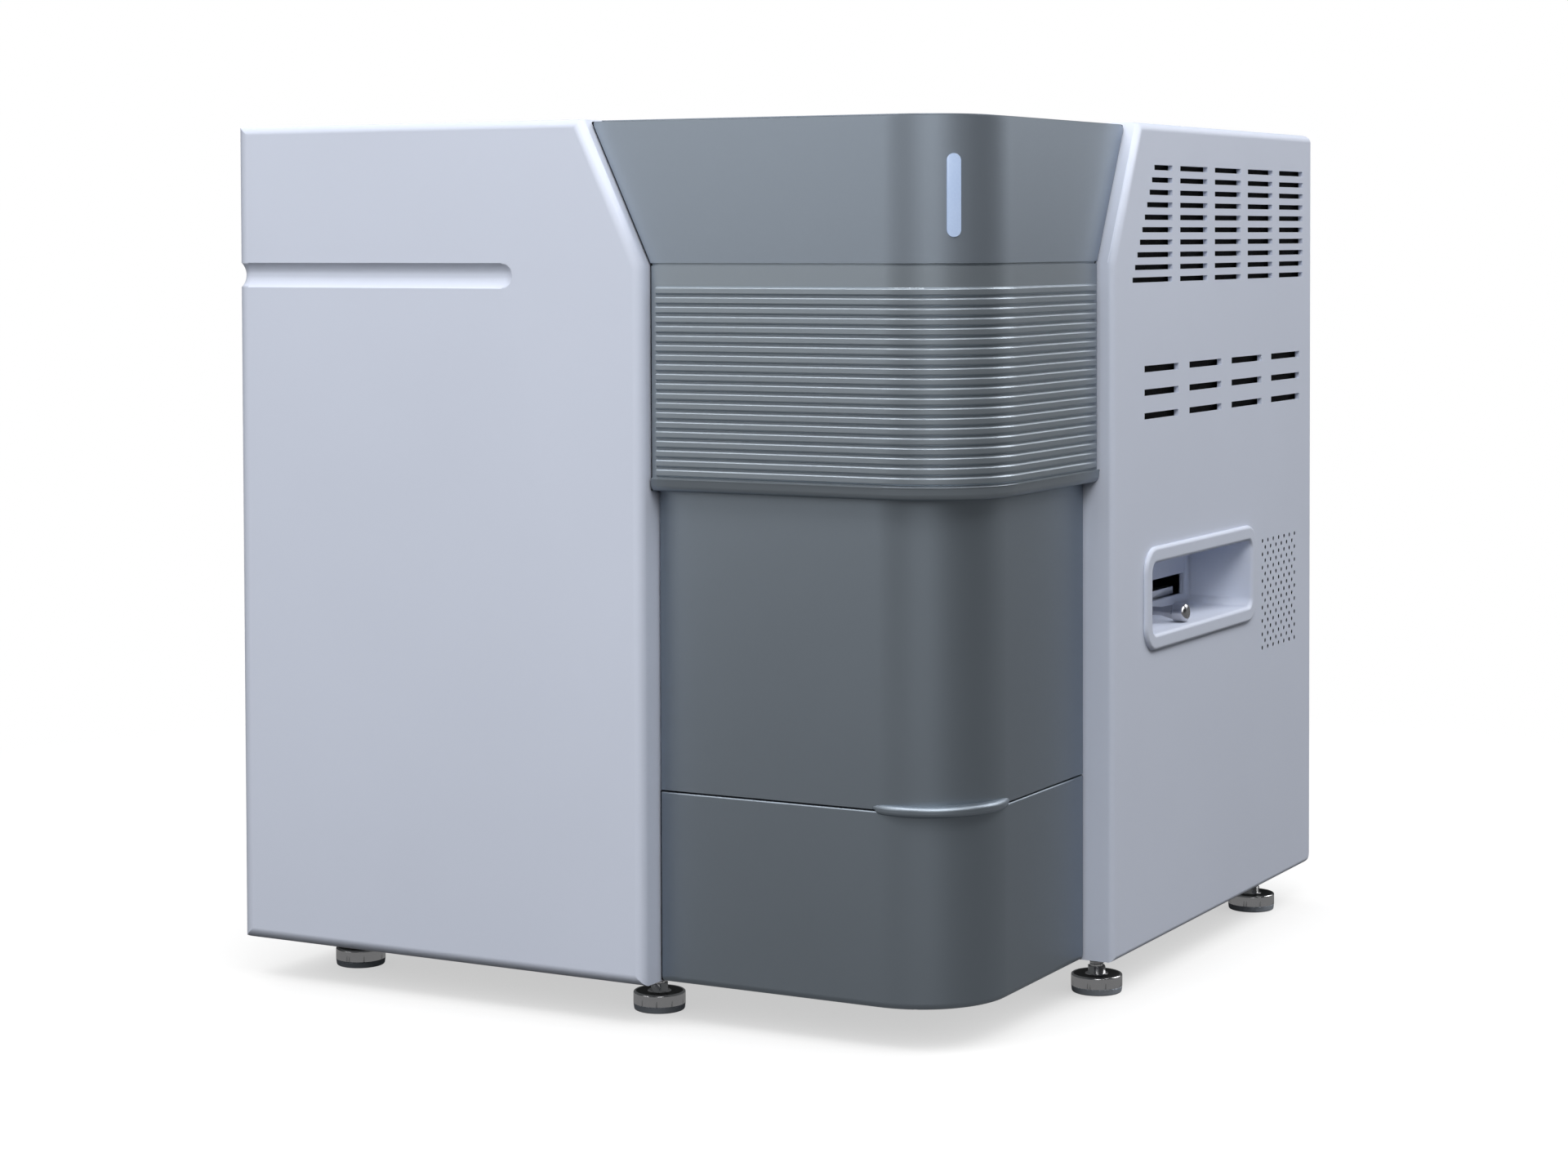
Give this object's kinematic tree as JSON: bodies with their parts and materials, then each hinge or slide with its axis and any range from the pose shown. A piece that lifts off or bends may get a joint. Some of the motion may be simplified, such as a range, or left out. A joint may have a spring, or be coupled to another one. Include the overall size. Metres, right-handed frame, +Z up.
{
  "type": "flow cytometer",
  "caption": "Bench-top flow cytometer with white side covers, a rounded grey corner, a lifting sample door, vented right side and levelling feet.",
  "frame": {"origin": "on the bench, under the middle of the overall box", "axes": "+X right seen from the front, +Y towards the rear panel, +Z up"},
  "size_m": [0.5074, 0.534, 0.525],
  "materials": {
    "white_cover": "fine satin white paint",
    "light_grey": "satin mid grey moulding",
    "dark_grey": "satin dark grey moulding",
    "light_lens": "translucent light bar",
    "sheet_steel": "plated sheet and tube",
    "bench_aluminium": "anodised aluminium",
    "black_aluminium": "black anodised",
    "bright_steel": "polished steel",
    "foot_rubber": "grey rubber",
    "black_plastic": "moulded black",
    "rack_plastic": "moulded rack",
    "board": "circuit board laminate",
    "brass_fitting": "nickelled brass"
  },
  "bodies": {
    "chassis": {"floor_pan": "sheet_steel", "frame": "sheet_steel", "optical_deck": "bench_aluminium", "left_cover": "white_cover", "right_cover": "white_cover", "top_lid": "light_grey", "top_fascia": "light_grey", "status_light": "light_lens", "ribbed_cover": "dark_grey", "lower_cover": "dark_grey", "rear_panel": "white_cover", "pocket_tray": "white_cover", "pin_bush": "bright_steel", "latch_bar": "bench_aluminium", "guide_rod_left": "bright_steel", "guide_rod_right": "bright_steel", "bay_liner": "white_cover", "plate_rails": "bench_aluminium", "probe_rail": "bench_aluminium", "laser_1": "black_aluminium", "laser_2": "black_aluminium", "laser_3": "black_aluminium", "steering_mirrors": "bench_aluminium", "flow_cell": "bench_aluminium", "objective": "black_aluminium", "scatter_detector": "black_aluminium", "detector_1": "black_aluminium", "detector_2": "black_aluminium", "power_supply": "bench_aluminium", "main_board": "board", "sheath_pump": "bench_aluminium", "sheath_filter": "rack_plastic", "valve_manifold": "rack_plastic", "fan_frame_left": "black_plastic", "fan_frame_right": "black_plastic", "power_inlet": "black_plastic", "data_sockets": "bright_steel", "sheath_port": "brass_fitting", "waste_port": "brass_fitting"},
    "door": {"sample_door": "dark_grey", "door_handle": "dark_grey"},
    "plate_stage": {"plate_carrier": "black_aluminium", "tube_rack": "rack_plastic"},
    "probe_x": {"probe_carriage": "black_aluminium"},
    "probe_z": {"probe_head": "bench_aluminium"},
    "pin": {"pull_pin": "bright_steel"},
    "rotor_left": {"fan_rotor_left": "black_plastic"},
    "rotor_right": {"fan_rotor_right": "black_plastic"},
    "rocker": {"power_rocker": "black_plastic"},
    "leveller_front_left": {"foot_front_left": "bright_steel", "pad_front_left": "foot_rubber"},
    "leveller_front_middle": {"foot_front_middle": "bright_steel", "pad_front_middle": "foot_rubber"},
    "leveller_right_front": {"foot_right_front": "bright_steel", "pad_right_front": "foot_rubber"},
    "leveller_right_rear": {"foot_right_rear": "bright_steel", "pad_right_rear": "foot_rubber"},
    "leveller_left_rear": {"foot_left_rear": "bright_steel", "pad_left_rear": "foot_rubber"}
  },
  "joints": [
    {"name": "door_lift", "type": "slide", "parent": "chassis", "child": "door", "axis": [0, 0, 1], "range_m": [0, 0.165]},
    {"name": "plate_slide", "type": "slide", "parent": "chassis", "child": "plate_stage", "axis": [0, -1, 0], "range_m": [0, 0.07]},
    {"name": "probe_traverse", "type": "slide", "parent": "chassis", "child": "probe_x", "axis": [1, 0, 0], "range_m": [-0.0498, 0.0498]},
    {"name": "probe_dip", "type": "slide", "parent": "probe_x", "child": "probe_z", "axis": [0, 0, -1], "range_m": [0, 0.055]},
    {"name": "pin_pull", "type": "slide", "parent": "chassis", "child": "pin", "axis": [1, 0, 0], "range_m": [0, 0.008], "stiffness_N_per_m": 500, "springref_m": -0.004},
    {"name": "fan_spin_left", "type": "hinge", "parent": "chassis", "child": "rotor_left", "pos_m": [-0.14975, 0.265, 0.41], "axis": [0, 1, 0], "continuous": true},
    {"name": "fan_spin_right", "type": "hinge", "parent": "chassis", "child": "rotor_right", "pos_m": [0.14825, 0.265, 0.41], "axis": [0, 1, 0], "continuous": true},
    {"name": "rocker_tilt", "type": "hinge", "parent": "chassis", "child": "rocker", "pos_m": [-0.03875, 0.242, 0.096], "axis": [1, 0, 0], "range_deg": [0, 14]},
    {"name": "level_front_left", "type": "slide", "parent": "chassis", "child": "leveller_front_left", "axis": [0, 0, -1], "range_m": [0, 0.008]},
    {"name": "level_front_middle", "type": "slide", "parent": "chassis", "child": "leveller_front_middle", "axis": [0, 0, -1], "range_m": [0, 0.008]},
    {"name": "level_right_front", "type": "slide", "parent": "chassis", "child": "leveller_right_front", "axis": [0, 0, -1], "range_m": [0, 0.008]},
    {"name": "level_right_rear", "type": "slide", "parent": "chassis", "child": "leveller_right_rear", "axis": [0, 0, -1], "range_m": [0, 0.008]},
    {"name": "level_left_rear", "type": "slide", "parent": "chassis", "child": "leveller_left_rear", "axis": [0, 0, -1], "range_m": [0, 0.008]}
  ]
}
